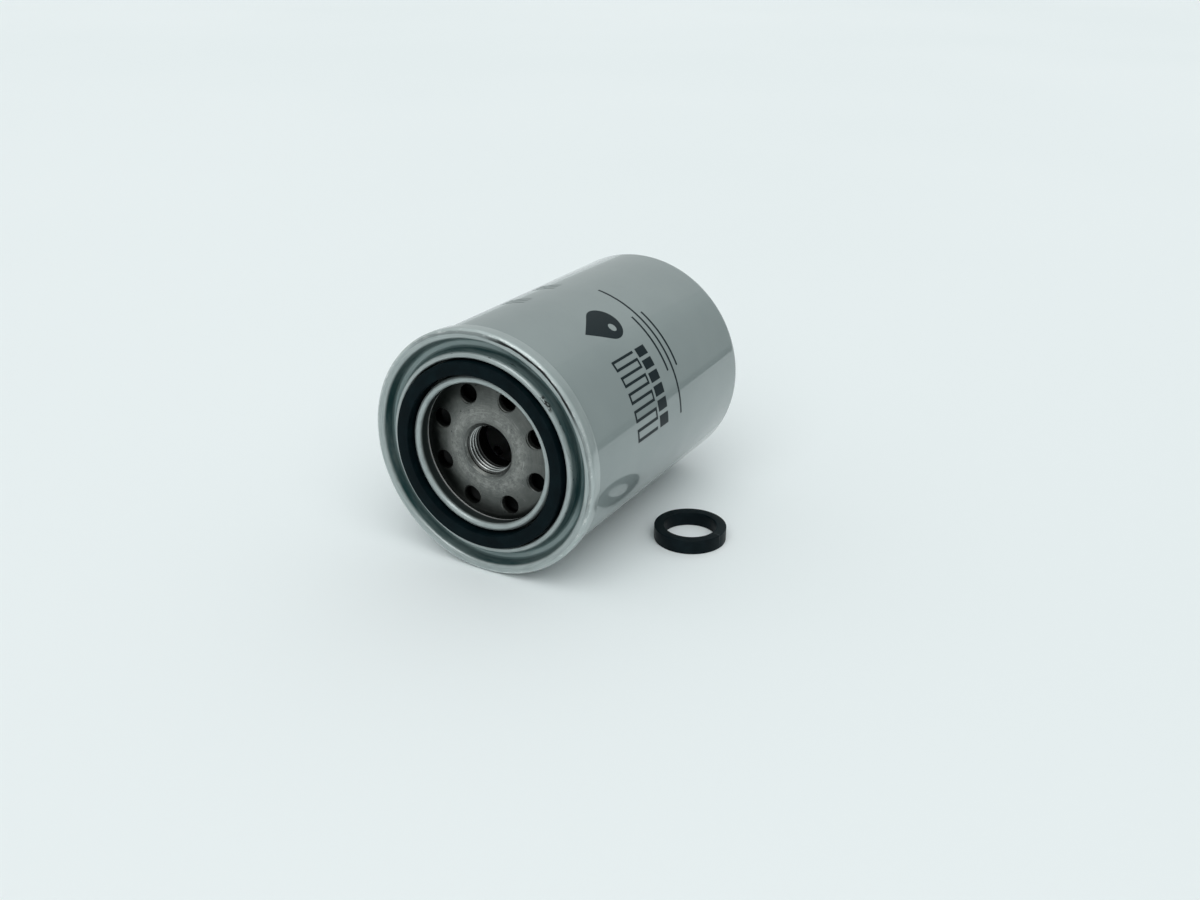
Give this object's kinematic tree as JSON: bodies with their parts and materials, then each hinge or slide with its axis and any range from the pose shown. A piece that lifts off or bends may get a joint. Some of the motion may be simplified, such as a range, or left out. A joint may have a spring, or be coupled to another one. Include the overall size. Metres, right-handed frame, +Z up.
{
  "type": "oil filter",
  "caption": "Spin-on engine oil filter with a painted steel can, rolled seam, threaded base plate with a ring of inlet holes, square gasket and a loose stud seal.",
  "frame": {"origin": "on the filter's axis, at the first thread of the base plate's stud hole; the floor is at z = -0.0465", "axes": "-Y out of the threaded end along the filter's axis, +Z up with the filter lying on its side, +X towards the loose stud seal"},
  "size_m": [0.1142, 0.1253, 0.093],
  "materials": {
    "grey_paint": "satin",
    "lid_paint": "satin",
    "print_ink": "matte",
    "bare_steel": "machined",
    "tinned_steel": "satin",
    "spring_steel": "satin",
    "nitrile_rubber": "matte",
    "valve_rubber": "matte",
    "filter_paper": "matte",
    "adhesive": "matte",
    "nylon": "satin"
  },
  "bodies": {
    "housing": {"can": "grey_paint", "side_print": "print_ink", "seaming_lid": "lid_paint", "seam_compound": "adhesive", "base_plate": "bare_steel", "outer_gasket": "nitrile_rubber", "support_spring": "spring_steel"},
    "element": {"front_end_cap": "tinned_steel", "front_adhesive": "adhesive", "pleated_media": "filter_paper", "media_seam_clip": "tinned_steel", "centre_tube": "tinned_steel", "rear_adhesive": "adhesive", "rear_end_cap": "tinned_steel", "bypass_cage": "tinned_steel", "bypass_seat": "nitrile_rubber", "bypass_spring": "spring_steel"},
    "drainback": {"drainback_valve": "valve_rubber"},
    "bypass": {"bypass_poppet": "nylon"},
    "spare_seal": {"stud_seal": "nitrile_rubber"}
  },
  "joints": [
    {"name": "element_float", "type": "slide", "parent": "housing", "child": "element", "axis": [0, 1, 0], "range_m": [0, 0.002], "stiffness_N_per_m": 4000, "springref_m": -0.01, "deforming": ["support_spring"]},
    {"name": "drainback_flap_lift", "type": "slide", "parent": "housing", "child": "drainback", "axis": [0, 1, 0], "range_m": [0, 0.0015], "stiffness_N_per_m": 400, "springref_m": -0.0005, "deforming": ["drainback_valve"]},
    {"name": "bypass_lift", "type": "slide", "parent": "element", "child": "bypass", "axis": [0, -1, 0], "range_m": [0, 0.0035], "stiffness_N_per_m": 2500, "springref_m": -0.006, "deforming": ["bypass_spring"]},
    {"name": "stud_seal_lift", "type": "slide", "parent": "housing", "child": "spare_seal", "axis": [0, 0, 1], "range_m": [0, 0.015]}
  ]
}
